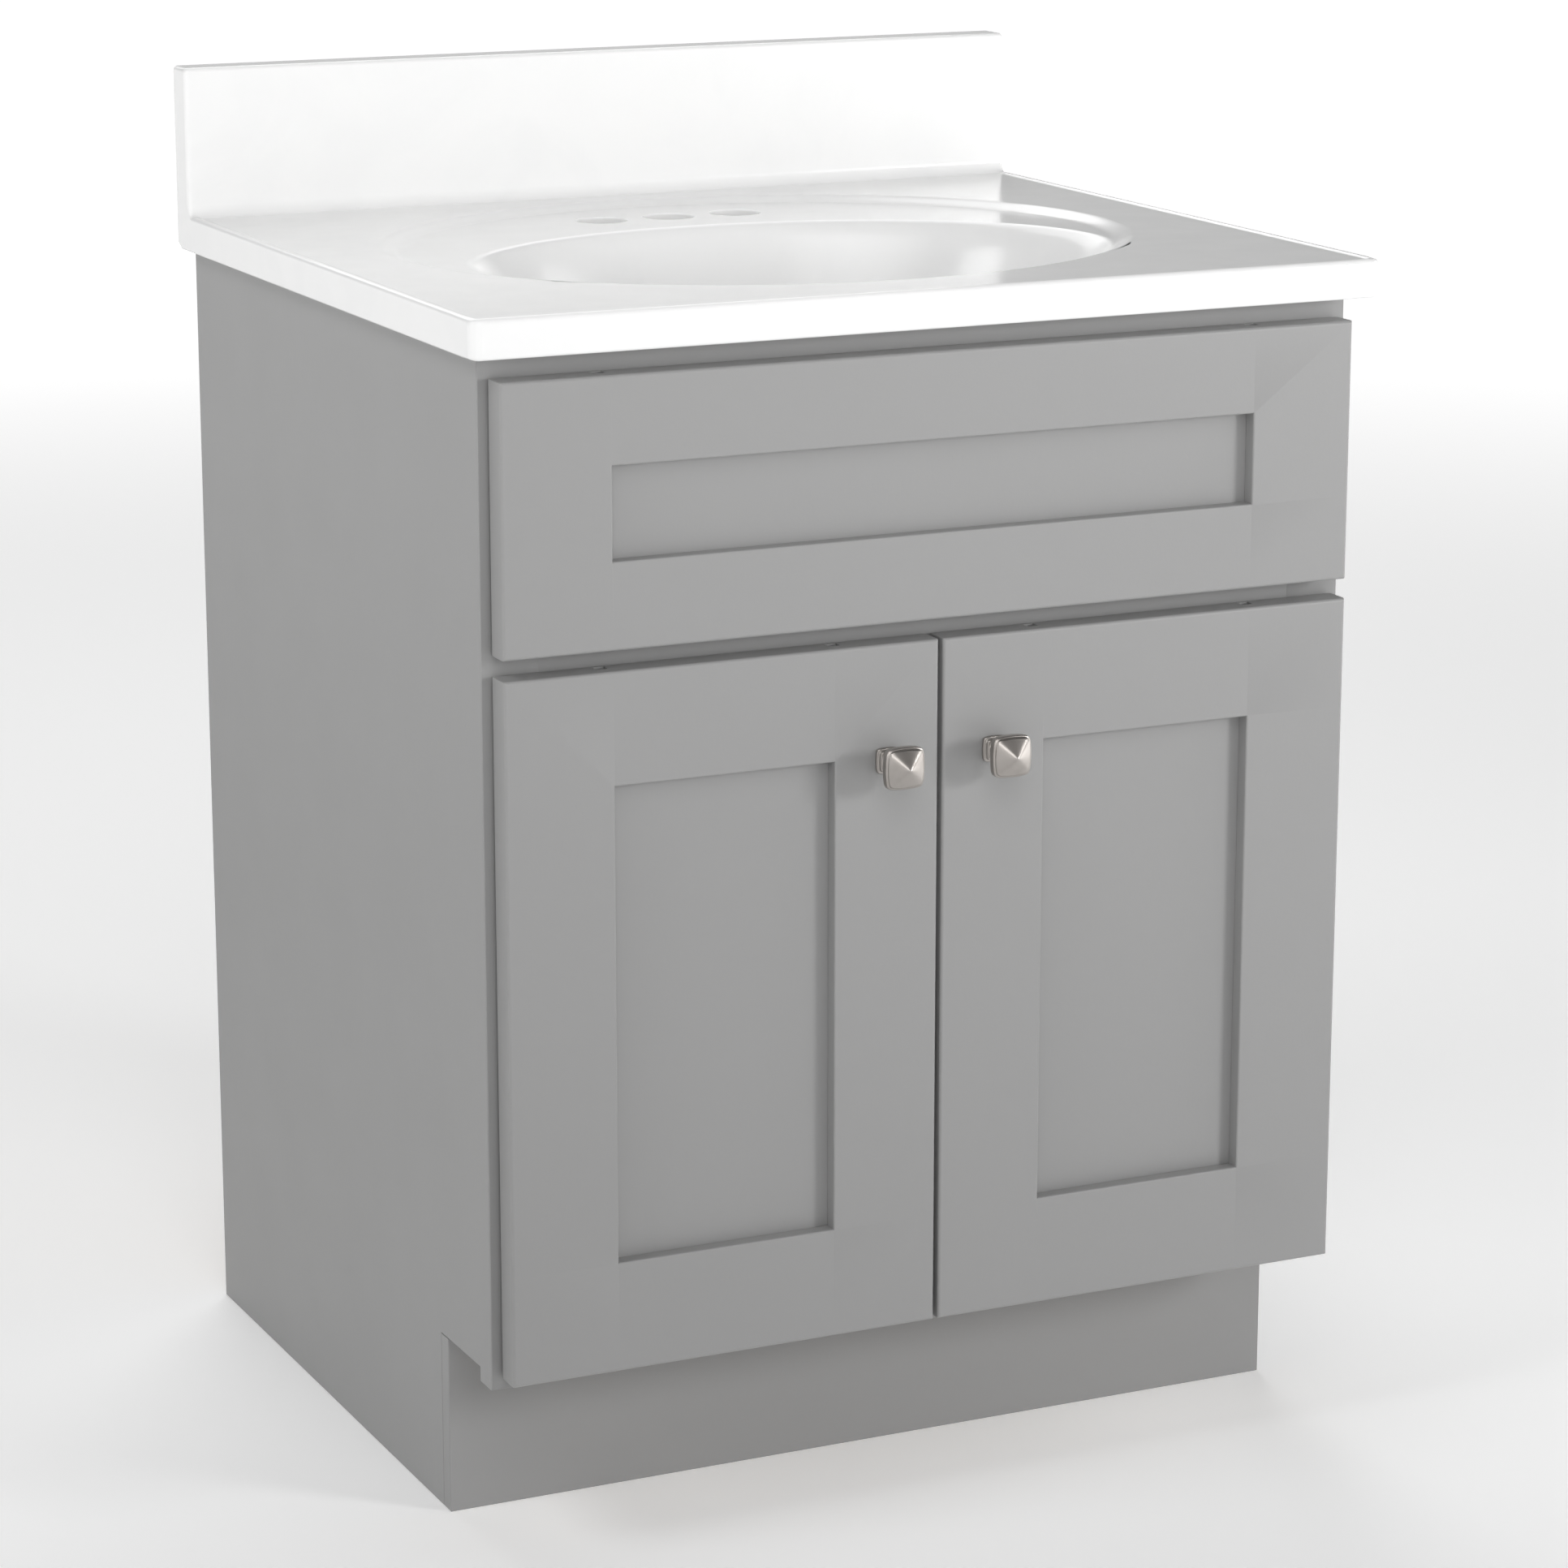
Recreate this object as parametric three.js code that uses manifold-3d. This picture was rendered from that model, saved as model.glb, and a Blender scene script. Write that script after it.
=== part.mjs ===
// A 24 inch bathroom vanity: a painted face-frame base cabinet with two overlay doors, a false
// drawer front and a one-piece cast top with an integral oval basin.
// Millimetres. +Z is up, the front faces -Y and +X is to the right of someone facing it.
// Inside the model x = 0 is the middle, y = 0 the front of the face frame and z = 0 the floor.
import * as THREE from 'three';
import { mergeVertices } from 'three/addons/utils/BufferGeometryUtils.js';
import Module from 'manifold-3d';

const wasm = await Module();
wasm.setup();

// ---- driving dimensions ----
const gap = 0.3; // clearance left between pieces that meet

const cabinetWidth = 609.6;
const cabinetDepth = 533.4;
const cabinetHeight = 774.7;
const sideThickness = 15.9;
const toeHeight = 111.1; // underside of the face frame
const toeSetback = 76.2; // face frame to toe board
const toeBoardThickness = 12;
const notchRise = 9.5; // how far the side panels' notch stands above the face frame's underside
const floorThickness = 12.7;
const backRailThickness = 12.7;
const backRailHeight = 76.2;
const cornerBlockLeg = 70;
const cornerBlockThickness = 19;

const stileWidth = 38.1;
const railHeight = 38.1;
const frameThickness = 19.05;
const midRailCentre = 582.55;

const frontThickness = 19.05; // doors and false front
const frontStandOff = 3; // frame to the back of a closed door
const sideReveal = 6.35; // face frame left showing beside the fronts
const doorGap = 3; // between the two doors
const doorBottom = 119;
const doorTop = 576.2;
const falseFrontBottom = 588.9;
const falseFrontTop = 760.35;
const memberWidth = 73; // door stiles and rails, false front stiles
const falseFrontRail = 56;
const panelThickness = 6;
const panelRecess = 10; // front face of a door to the front of its panel
const grooveDepth = 8;
const frontEdgeEase = 2;

const topOverhangSide = 12.7;
const topOverhangFront = 25.4;
const topThickness = 25.4;
const lipHeight = 1.2;
const lipWidth = 5;
const slabCornerRadius = 7;
const splashHeight = 101.6;
const splashThickness = 25.4;
const coveRadius = 9;
const recessDepth = 4;
const recessHalfWidth = 260;
const recessHalfDepth = 224;
const recessFromFront = 277; // slab front to the centre of the oval recess
const basinHalfWidth = 218;
const basinHalfDepth = 158;
const basinFromFront = 213; // slab front to the centre of the basin
const basinDepth = 140; // below the recess
const basinWall = 12;
const basinSteepness = 3.2; // 2 is a paraboloid, more gives a flatter floor and steeper walls
const drainRadius = 22;
const drainLandRadius = 38;
const drainLandDrop = 2; // the flat land stands this far below the basin
const faucetHoleRadius = 17.5;
const faucetHoleSpacing = 50.8;
const faucetFromFront = 430;

const hingeInset = 75; // door end to the middle of a hinge
const pivotFromEdge = 7.5; // door's outer edge to the hinge pin
const pivotFromBack = 8.5; // door's back to the hinge pin
const cupRadius = 17.2;
const cupFromEdge = 20.5;
const cupDepth = 13;
const cupWall = 1;
const cupFlangeThickness = 1;
const pinRadius = 1.4;
const pinRunningClearance = 0.1;
const pinHalfLength = 9.4;
const eyeRadius = 2.45;
const armHalfHeight = 4;
const armPlateHalfHeight = 19;
const armThickness = 1.5;
const screwShankRadius = 1.8;
const screwHeadRadius = 4;
const screwHeadHeight = 1.8;
const hingeScrewLength = 16;

const knobFromEdge = 36.5; // door's meeting edge to the knob's middle
const knobFromTop = 75;
const knobHeadSize = 27.4;
const knobBaseSize = 17;
const knobProjection = 34.5;
const knobScrewRadius = 2;
const bumperRadius = 5;
const bumperFromEdge = 15;
const bumperFromEnd = 7;

// ---- derived places ----
const halfWidth = cabinetWidth / 2;
const sideInner = halfWidth - sideThickness;
const stileInner = halfWidth - stileWidth;
const frontBack = -frontStandOff; // back plane of doors and false front
const frontFace = frontBack - frontThickness;
const panelFront = frontFace + panelRecess;
const panelBack = panelFront + panelThickness;
const doorOuter = halfWidth - sideReveal;
const doorWidth = doorOuter - doorGap / 2;
const floorTop = toeHeight + railHeight;
const floorUnderside = floorTop - floorThickness;
const notchTop = toeHeight + notchRise;
const slabFront = -topOverhangFront;
const slabHalfWidth = halfWidth + topOverhangSide;
const slabTop = cabinetHeight + topThickness;
const deckTop = slabTop - lipHeight;
const ledgeTop = deckTop - recessDepth;
const splashFront = cabinetDepth - splashThickness;
const knobTip = frontFace - knobProjection;
const pivotX = doorOuter - pivotFromEdge;
const pivotY = frontBack - pivotFromBack;
const upperHingeZ = doorTop - hingeInset;
const lowerHingeZ = doorBottom + hingeInset;
const through = 10; // how far a cutter runs past the faces it opens

// ---- shape helpers ----
function toSolid(geometry) {
  const bare = geometry.clone();
  bare.deleteAttribute('normal');
  bare.deleteAttribute('uv');
  const welded = mergeVertices(bare, 1e-4);
  return new wasm.Manifold(new wasm.Mesh({
    numProp: 3,
    vertProperties: new Float32Array(welded.attributes.position.array),
    triVerts: new Uint32Array(welded.index.array),
  }));
}

function toGeometry(solid) {
  const mesh = solid.getMesh();
  const geometry = new THREE.BufferGeometry();
  geometry.setAttribute('position', new THREE.BufferAttribute(mesh.vertProperties, 3));
  geometry.setIndex(new THREE.BufferAttribute(mesh.triVerts, 1));
  geometry.computeVertexNormals();
  return geometry;
}

function join(...geometries) {
  return toGeometry(geometries.map(toSolid).reduce((sum, next) => sum.add(next)));
}

function cut(geometry, ...cutters) {
  return toGeometry(cutters.map(toSolid).reduce((rest, next) => rest.subtract(next), toSolid(geometry)));
}

// a board between two limits on each axis, which may be given in either order
function board([x0, x1], [y0, y1], [z0, z1]) {
  const geometry = new THREE.BoxGeometry(Math.abs(x1 - x0), Math.abs(y1 - y0), Math.abs(z1 - z0));
  return geometry.translate((x0 + x1) / 2, (y0 + y1) / 2, (z0 + z1) / 2);
}

// an outline in plan, [x, y] points, raised from z0 to z1
function planPrism(points, z0, z1) {
  const shape = new THREE.Shape(points.map(([x, y]) => new THREE.Vector2(x, y)));
  const geometry = new THREE.ExtrudeGeometry(shape, { depth: z1 - z0, bevelEnabled: false });
  return geometry.translate(0, 0, z0);
}

// an outline seen from the front, [x, z] points, from y0 back to y1
function frontPrism(points, y0, y1) {
  const shape = new THREE.Shape(points.map(([x, z]) => new THREE.Vector2(x, z)));
  const geometry = new THREE.ExtrudeGeometry(shape, { depth: y1 - y0, bevelEnabled: false });
  return geometry.rotateX(Math.PI / 2).translate(0, y1, 0);
}

// an outline seen from the right, [y, z] points, from x0 to x1
function sidePrism(points, x0, x1) {
  const shape = new THREE.Shape(points.map(([y, z]) => new THREE.Vector2(y, z)));
  const geometry = new THREE.ExtrudeGeometry(shape, { depth: x1 - x0, bevelEnabled: false });
  return geometry.rotateX(Math.PI / 2).rotateZ(Math.PI / 2).translate(x0, 0, 0);
}

// an upright cylinder between two heights
function post(x, y, radius, z0, z1, segments = 32) {
  const geometry = new THREE.CylinderGeometry(radius, radius, z1 - z0, segments);
  return geometry.rotateX(Math.PI / 2).translate(x, y, (z0 + z1) / 2);
}

// a cylinder running front to back between two y values
function barrel(x, z, radius, y0, y1, segments = 32) {
  const geometry = new THREE.CylinderGeometry(radius, radius, y1 - y0, segments);
  return geometry.translate(x, (y0 + y1) / 2, z);
}

// a solid of revolution about +Z through the origin, from [radius, height] points on and off the axis
function turned(points, segments = 32) {
  const profile = points.map(([radius, height]) => new THREE.Vector2(radius, height));
  return new THREE.LatheGeometry(profile, segments).rotateX(Math.PI / 2);
}

// a square plate with rounded corners, standing on z0 and reaching z1, about the Z axis
function squarePlate(size, cornerRadius, z0, z1, segments = 6) {
  const half = size / 2;
  const shape = new THREE.Shape();
  shape.moveTo(-half + cornerRadius, -half);
  shape.lineTo(half - cornerRadius, -half);
  shape.absarc(half - cornerRadius, -half + cornerRadius, cornerRadius, -Math.PI / 2, 0);
  shape.lineTo(half, half - cornerRadius);
  shape.absarc(half - cornerRadius, half - cornerRadius, cornerRadius, 0, Math.PI / 2);
  shape.lineTo(-half + cornerRadius, half);
  shape.absarc(-half + cornerRadius, half - cornerRadius, cornerRadius, Math.PI / 2, Math.PI);
  shape.lineTo(-half, -half + cornerRadius);
  shape.absarc(-half + cornerRadius, -half + cornerRadius, cornerRadius, Math.PI, Math.PI * 1.5);
  const geometry = new THREE.ExtrudeGeometry(shape, {
    depth: z1 - z0,
    bevelEnabled: false,
    curveSegments: segments,
  });
  return geometry.translate(0, 0, z0);
}

// ---- materials ----
function finish(color, roughness, metalness) {
  return new THREE.MeshStandardMaterial({ color, roughness, metalness });
}

const paint = () => finish(0x9c9c9b, 0.45, 0);
const castMarble = () => finish(0xf1f0ec, 0.12, 0);
const rawPly = () => finish(0xc9a878, 0.7, 0);
const nickel = () => finish(0xb4aca2, 0.3, 1);
const hingeSteel = () => finish(0xb9bcc0, 0.3, 1);
const clearRubber = () => finish(0xd8d8d2, 0.4, 0);

const model = new THREE.Group();

function place(name, geometry, material) {
  const mesh = new THREE.Mesh(geometry, material);
  mesh.name = name;
  model.add(mesh);
  return mesh;
}

const hands = [
  { name: 'left', side: -1 },
  { name: 'right', side: 1 },
];

// ---- carcass ----
function sidePanel(side) {
  const toeBack = toeSetback + toeBoardThickness + gap;
  const front = frameThickness + gap;
  const outline = [
    [front, notchTop],
    [toeBack, notchTop],
    [toeBack, 0],
    [cabinetDepth, 0],
    [cabinetDepth, cabinetHeight - gap],
    [front, cabinetHeight - gap],
  ];
  const inner = Math.min(side * sideInner, side * halfWidth);
  return sidePrism(outline, inner, inner + sideThickness);
}

function hingeScrewBore(side, z) {
  const bore = new THREE.CylinderGeometry(screwShankRadius + gap, screwShankRadius + gap, hingeScrewLength, 16);
  bore.rotateZ(Math.PI / 2);
  const depthIntoStile = hingeScrewLength / 2 - 1;
  return bore.translate(side * (stileInner + depthIntoStile), frameThickness / 2 + 2, z);
}

function frameStile(side) {
  const blank = board([side * stileInner, side * halfWidth], [0, frameThickness], [toeHeight, cabinetHeight - gap]);
  return cut(blank, hingeScrewBore(side, upperHingeZ), hingeScrewBore(side, lowerHingeZ));
}

function frameRail(z0, z1) {
  return board([-stileInner + gap, stileInner - gap], [0, frameThickness], [z0, z1]);
}

// full width below the side panels' notches, and between the panels above them up to the floor
function toeBoard() {
  const inner = sideInner - gap;
  const outline = [
    [-halfWidth, 0],
    [halfWidth, 0],
    [halfWidth, notchTop - gap],
    [inner, notchTop - gap],
    [inner, floorUnderside - gap],
    [-inner, floorUnderside - gap],
    [-inner, notchTop - gap],
    [-halfWidth, notchTop - gap],
  ];
  return frontPrism(outline, toeSetback, toeSetback + toeBoardThickness);
}

function cornerBlock(side, atBack) {
  const cornerX = side * (sideInner - gap);
  const cornerY = atBack ? cabinetDepth - backRailThickness - gap : frameThickness + gap;
  const inward = atBack ? -1 : 1;
  const outline = [
    [cornerX, cornerY],
    [cornerX - side * cornerBlockLeg, cornerY],
    [cornerX, cornerY + inward * cornerBlockLeg],
  ];
  const top = cabinetHeight - gap;
  return planPrism(outline, top - cornerBlockThickness, top);
}

function addCarcass() {
  for (const { name, side } of hands) {
    place(`${name}_side_panel`, sidePanel(side), paint());
    place(`${name}_stile`, frameStile(side), paint());
    place(`front_${name}_corner_block`, cornerBlock(side, false), rawPly());
    place(`back_${name}_corner_block`, cornerBlock(side, true), rawPly());
  }
  const insideX = [-sideInner + gap, sideInner - gap];
  const backY = [cabinetDepth - backRailThickness, cabinetDepth];
  const floorY = [frameThickness + gap, cabinetDepth];
  const lowRailFoot = floorTop + gap;
  place('top_rail', frameRail(cabinetHeight - railHeight, cabinetHeight - gap), paint());
  place('mid_rail', frameRail(midRailCentre - railHeight / 2, midRailCentre + railHeight / 2), paint());
  place('bottom_rail', frameRail(toeHeight, floorTop), paint());
  place('floor_panel', board(insideX, floorY, [floorUnderside, floorTop]), rawPly());
  place('toe_board', toeBoard(), paint());
  place('upper_back_rail', board(insideX, backY, [cabinetHeight - backRailHeight, cabinetHeight - gap]), rawPly());
  place('lower_back_rail', board(insideX, backY, [lowRailFoot, lowRailFoot + backRailHeight]), rawPly());
}

// ---- cast top ----
function slabBlank() {
  const r = slabCornerRadius;
  const shape = new THREE.Shape();
  shape.moveTo(-slabHalfWidth + r, slabFront);
  shape.lineTo(slabHalfWidth - r, slabFront);
  shape.absarc(slabHalfWidth - r, slabFront + r, r, -Math.PI / 2, 0);
  shape.lineTo(slabHalfWidth, cabinetDepth);
  shape.lineTo(-slabHalfWidth, cabinetDepth);
  shape.lineTo(-slabHalfWidth, slabFront + r);
  shape.absarc(-slabHalfWidth + r, slabFront + r, r, Math.PI, Math.PI * 1.5);
  const geometry = new THREE.ExtrudeGeometry(shape, { depth: topThickness, bevelEnabled: false, curveSegments: 6 });
  return geometry.translate(0, 0, cabinetHeight);
}

// the splash and the hollow quarter-round that turns the deck up into it
function splashAndCove() {
  const steps = 6;
  const outline = [
    [cabinetDepth, deckTop - through],
    [cabinetDepth, cabinetHeight + topThickness + splashHeight],
    [splashFront, cabinetHeight + topThickness + splashHeight],
  ];
  for (let i = 0; i <= steps; i += 1) {
    const angle = (i / steps) * (Math.PI / 2);
    const y = splashFront - coveRadius * (1 - Math.cos(angle));
    outline.push([y, deckTop + coveRadius * (1 - Math.sin(angle))]);
  }
  outline.push([splashFront - coveRadius, deckTop - through]);
  return sidePrism(outline, -slabHalfWidth, slabHalfWidth);
}

// the inside or outside of the basin under a straight collar: turned about Z from the curve
// depth = 1 - radius ^ steepness, and then stretched to the oval
function basinBody(grow, collar, segments = 64) {
  const steps = 14;
  const points = [];
  for (let i = 0; i <= steps; i += 1) {
    const across = Math.sin((i / steps) * (Math.PI / 2));
    points.push([across, across ** basinSteepness - 1]);
  }
  points.push([1, collar / (basinDepth + grow)]);
  points.push([0, collar / (basinDepth + grow)]);
  const body = turned(points, segments);
  body.scale(basinHalfWidth + grow, basinHalfDepth + grow, basinDepth + grow);
  return body.translate(0, slabFront + basinFromFront, ledgeTop);
}

function vanityTop() {
  const basinY = slabFront + basinFromFront;
  const basinFloor = ledgeTop - basinDepth;
  const landBottom = basinFloor - basinWall - drainLandDrop;
  const oval = new THREE.Shape();
  oval.absellipse(0, slabFront + recessFromFront, recessHalfWidth, recessHalfDepth, 0, Math.PI * 2);
  const recess = new THREE.ExtrudeGeometry(oval, { depth: through, bevelEnabled: false, curveSegments: 32 });
  const deckPocket = board(
    [-slabHalfWidth + lipWidth, slabHalfWidth - lipWidth],
    [slabFront + lipWidth, cabinetDepth + through],
    [deckTop, slabTop + through],
  );
  const holes = [-1, 0, 1].map((place) => post(
    place * faucetHoleSpacing,
    slabFront + faucetFromFront,
    faucetHoleRadius,
    cabinetHeight - through,
    slabTop + through,
  ));
  const shell = join(
    cut(slabBlank(), deckPocket),
    splashAndCove(),
    basinBody(basinWall, -1),
    post(0, basinY, drainLandRadius, landBottom, basinFloor + 2, 40),
  );
  return cut(
    shell,
    recess.translate(0, 0, ledgeTop),
    basinBody(0, through),
    post(0, basinY, drainRadius, landBottom - through, basinFloor + through),
    ...holes,
  );
}

// ---- doors and false front ----
// A framed front between [x0, x1] and [z0, z1]: two stiles with grooves, two rails with stub tenons
// and a thin panel held in the grooves. Returns the five geometries.
function framedFront([x0, x1], [z0, z1], stile, rail) {
  const y = [frontFace, frontBack];
  const grooveY = [panelFront - gap, panelBack + gap];
  const innerX = [x0 + stile, x1 - stile];
  const innerZ = [z0 + rail, z1 - rail];
  const grooveX = [innerX[0] - grooveDepth, innerX[1] + grooveDepth];
  const grooveZ = [innerZ[0] - grooveDepth, innerZ[1] + grooveDepth];
  const stileGroove = board(grooveX, grooveY, [z0 - through, z1 + through]);
  const railGroove = board([x0, x1], grooveY, grooveZ);
  const tenonX = [grooveX[0] + gap, grooveX[1] - gap];
  const tenonY = [panelFront, panelBack];
  const railBody = (from, to) => cut(
    join(board([innerX[0] + gap, innerX[1] - gap], y, [from, to]), board(tenonX, tenonY, [from, to])),
    railGroove,
  );
  return {
    lowX: cut(easedStile([x0, innerX[0]], [z0, z1], x0), stileGroove),
    highX: cut(easedStile([innerX[1], x1], [z0, z1], x1), stileGroove),
    bottom: railBody(z0, innerZ[0]),
    top: railBody(innerZ[1], z1),
    panel: board(tenonX, tenonY, [grooveZ[0] + gap, grooveZ[1] - gap]),
  };
}

// a stile whose outer front arris is eased
function easedStile([x0, x1], z, outerX) {
  const inward = outerX === x0 ? 1 : -1;
  const innerX = outerX === x0 ? x1 : x0;
  const outline = [
    [outerX, frontBack],
    [outerX, frontFace + frontEdgeEase],
    [outerX + inward * frontEdgeEase, frontFace],
    [innerX, frontFace],
    [innerX, frontBack],
  ];
  return planPrism(outline, z[0], z[1]);
}

function addFalseFront() {
  const parts = framedFront([-doorOuter, doorOuter], [falseFrontBottom, falseFrontTop], memberWidth, falseFrontRail);
  place('false_front_left_stile', parts.lowX, paint());
  place('false_front_right_stile', parts.highX, paint());
  place('false_front_bottom_rail', parts.bottom, paint());
  place('false_front_top_rail', parts.top, paint());
  place('false_front_panel', parts.panel, paint());
  // blocks fixed to the stiles' inner edges, which the false front is screwed to from behind
  const cleatWidth = 28;
  const cleatBack = 32;
  const cleatZ = [midRailCentre + railHeight / 2 + gap, cabinetHeight - railHeight - gap];
  for (const { name, side } of hands) {
    const cleatX = [side * (stileInner - gap), side * (stileInner - gap - cleatWidth)];
    place(`false_front_${name}_cleat`, board(cleatX, [frontBack + gap, cleatBack], cleatZ), rawPly());
  }
}

function doorX(side, fromHingeEdge) {
  return side * (doorOuter - fromHingeEdge);
}

function addDoor(name, side) {
  const edges = [doorX(side, 0), doorX(side, doorWidth)].sort((a, b) => a - b);
  const parts = framedFront(edges, [doorBottom, doorTop], memberWidth, memberWidth);
  const hingeStile = side < 0 ? parts.lowX : parts.highX;
  const lockStile = side < 0 ? parts.highX : parts.lowX;
  const cupBores = [upperHingeZ, lowerHingeZ].map((z) => barrel(
    doorX(side, cupFromEdge),
    z,
    cupRadius + gap,
    frontBack - cupDepth - gap,
    frontBack + through,
    48,
  ));
  const knobX = doorX(side, doorWidth - knobFromEdge);
  const knobZ = doorTop - knobFromTop;
  const knobBore = barrel(knobX, knobZ, knobScrewRadius + gap, frontFace - through, frontBack + through, 16);
  place(`${name}_door_hinge_stile`, cut(hingeStile, ...cupBores), paint());
  place(`${name}_door_lock_stile`, cut(lockStile, knobBore), paint());
  place(`${name}_door_bottom_rail`, parts.bottom, paint());
  place(`${name}_door_top_rail`, parts.top, paint());
  place(`${name}_door_panel`, parts.panel, paint());
  place(`${name}_knob`, knob(), nickel()).position.set(knobX, frontFace - gap, knobZ);
  place(`${name}_knob_screw`, knobScrew(), hingeSteel()).position.set(knobX, frontBack + gap, knobZ);
  const bumperX = doorX(side, doorWidth - bumperFromEdge);
  const bumperHeights = { upper: doorTop - bumperFromEnd, lower: doorBottom + bumperFromEnd };
  for (const [level, z] of Object.entries(bumperHeights)) {
    const bumper = barrel(bumperX, z, bumperRadius, frontBack + gap, -gap, 24);
    place(`${name}_door_${level}_bumper`, bumper, clearRubber());
  }
}

// ---- knob, pointing to -Y from its foot at the origin ----
function knob() {
  const footHeight = 3;
  const stepHeight = 5.5;
  const neckRadius = 5;
  const headUnderside = 21;
  const collarDrop = 1.5;
  const rimHeight = 6.5;
  const apex = knobProjection - gap;
  const rimFront = headUnderside + rimHeight;
  const cornerRadius = 3.5;
  const pyramidFoot = knobHeadSize - 3;
  const pyramid = new THREE.CylinderGeometry(
    1.5,
    pyramidFoot / Math.SQRT2,
    apex - rimFront + collarDrop,
    4,
  );
  pyramid.rotateX(Math.PI / 2).rotateZ(Math.PI / 4);
  pyramid.translate(0, 0, (apex + rimFront - collarDrop) / 2);
  const screwHole = post(0, 0, knobScrewRadius + gap, -through, headUnderside - 4, 16);
  const body = join(
    squarePlate(knobBaseSize, 1.5, 0, footHeight),
    squarePlate(knobBaseSize - 4, 1.2, footHeight - 1, stepHeight),
    post(0, 0, neckRadius, stepHeight - 1, headUnderside + 1, 24),
    squarePlate(knobHeadSize - 6, cornerRadius, headUnderside - collarDrop, headUnderside + 1),
    squarePlate(knobHeadSize, cornerRadius, headUnderside, rimFront),
    pyramid,
  );
  return cut(body, screwHole).rotateX(Math.PI / 2);
}

// a pan-head machine screw from behind the door, its head at +Y and its shank along -Y
function knobScrew() {
  const length = frontThickness + 10;
  const screw = turned([
    [0, -screwHeadHeight],
    [screwHeadRadius, -screwHeadHeight],
    [screwHeadRadius, 0],
    [knobScrewRadius, 0],
    [knobScrewRadius, length],
    [0, length],
  ], 20);
  return screw.rotateX(Math.PI / 2);
}

// ---- hinges ----
// Each is a steel cup let into the door, a pin across the cup and an arm that reaches from the pin
// round the face frame's inner edge, where one screw holds it.
function hingeCup(side, z) {
  const x = doorX(side, cupFromEdge);
  const mouth = frontBack + gap;
  const flangeHalfHeight = 29;
  const flangeHalfWidth = 13;
  const shell = join(
    barrel(x, z, cupRadius, frontBack - cupDepth, mouth + cupFlangeThickness, 48),
    board(
      [x - flangeHalfWidth, x + flangeHalfWidth],
      [mouth, mouth + cupFlangeThickness],
      [z - flangeHalfHeight, z + flangeHalfHeight],
    ),
  );
  return cut(
    shell,
    barrel(x, z, cupRadius - cupWall, frontBack - cupDepth + cupWall, through, 48),
    post(side * pivotX, pivotY, pinRadius + gap, z - cupRadius, z + cupRadius, 16),
  );
}

function hingeArm(side, z) {
  const inner = stileInner - gap; // plate's face against the stile
  const floorOfArm = -eyeRadius + 1.1; // the arm runs low in the cup, below the middle of the eye
  const ceilingOfArm = 0.6;
  const reach = pivotX - inner + armThickness;
  const plateBack = frameThickness - pivotY;
  const elbow = 4;
  // [inward from the pin, back from the pin]
  const neck = [
    [0, floorOfArm],
    [reach - elbow, floorOfArm],
    [reach, floorOfArm + elbow],
    [reach, plateBack],
    [reach - armThickness, plateBack],
    [reach - armThickness, floorOfArm + elbow + 1],
    [reach - elbow - 1, ceilingOfArm],
    [0, ceilingOfArm],
  ].map(([inward, back]) => [side * (pivotX - inward), pivotY + back]);
  const plateX = [side * inner, side * (inner - armThickness)];
  const holeY = frameThickness / 2 + 2;
  const hole = new THREE.CylinderGeometry(screwShankRadius + gap, screwShankRadius + gap, through, 16);
  hole.rotateZ(Math.PI / 2).translate(side * inner, holeY, z);
  return cut(
    join(
      planPrism(neck, z - armHalfHeight, z + armHalfHeight),
      post(side * pivotX, pivotY, eyeRadius, z - armHalfHeight, z + armHalfHeight, 24),
      board(plateX, [2, frameThickness], [z - armPlateHalfHeight, z + armPlateHalfHeight]),
    ),
    post(side * pivotX, pivotY, pinRadius + pinRunningClearance, z - through, z + through, 24),
    hole,
  );
}

function hingeScrew() {
  return turned([
    [0, -screwHeadHeight],
    [screwHeadRadius - 1, -screwHeadHeight],
    [screwHeadRadius, 0],
    [screwShankRadius, 0],
    [screwShankRadius, hingeScrewLength - 4],
    [0, hingeScrewLength - 1.5],
  ], 16);
}

function addHinge(name, side, level, z) {
  place(`${name}_${level}_hinge_cup`, hingeCup(side, z), hingeSteel());
  const pin = post(side * pivotX, pivotY, pinRadius, z - pinHalfLength, z + pinHalfLength, 24);
  place(`${name}_${level}_hinge_pin`, pin, hingeSteel());
  place(`${name}_${level}_hinge_arm`, hingeArm(side, z), hingeSteel());
  const screw = place(`${name}_${level}_hinge_screw`, hingeScrew(), hingeSteel());
  screw.rotation.y = side * Math.PI / 2;
  screw.position.set(side * (stileInner - gap - armThickness - gap), frameThickness / 2 + 2, z);
}

// ---- assembly ----
place('vanity_top', vanityTop(), castMarble());
addCarcass();
addFalseFront();
for (const { name, side } of hands) {
  addDoor(name, side);
  addHinge(name, side, 'upper', upperHingeZ);
  addHinge(name, side, 'lower', lowerHingeZ);
}

// the finished part stands on z = 0, centred left to right and front to back
model.position.y = -(cabinetDepth + knobTip) / 2;
const vanity = new THREE.Group();
vanity.add(model);
export default vanity;
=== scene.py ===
import math

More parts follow.
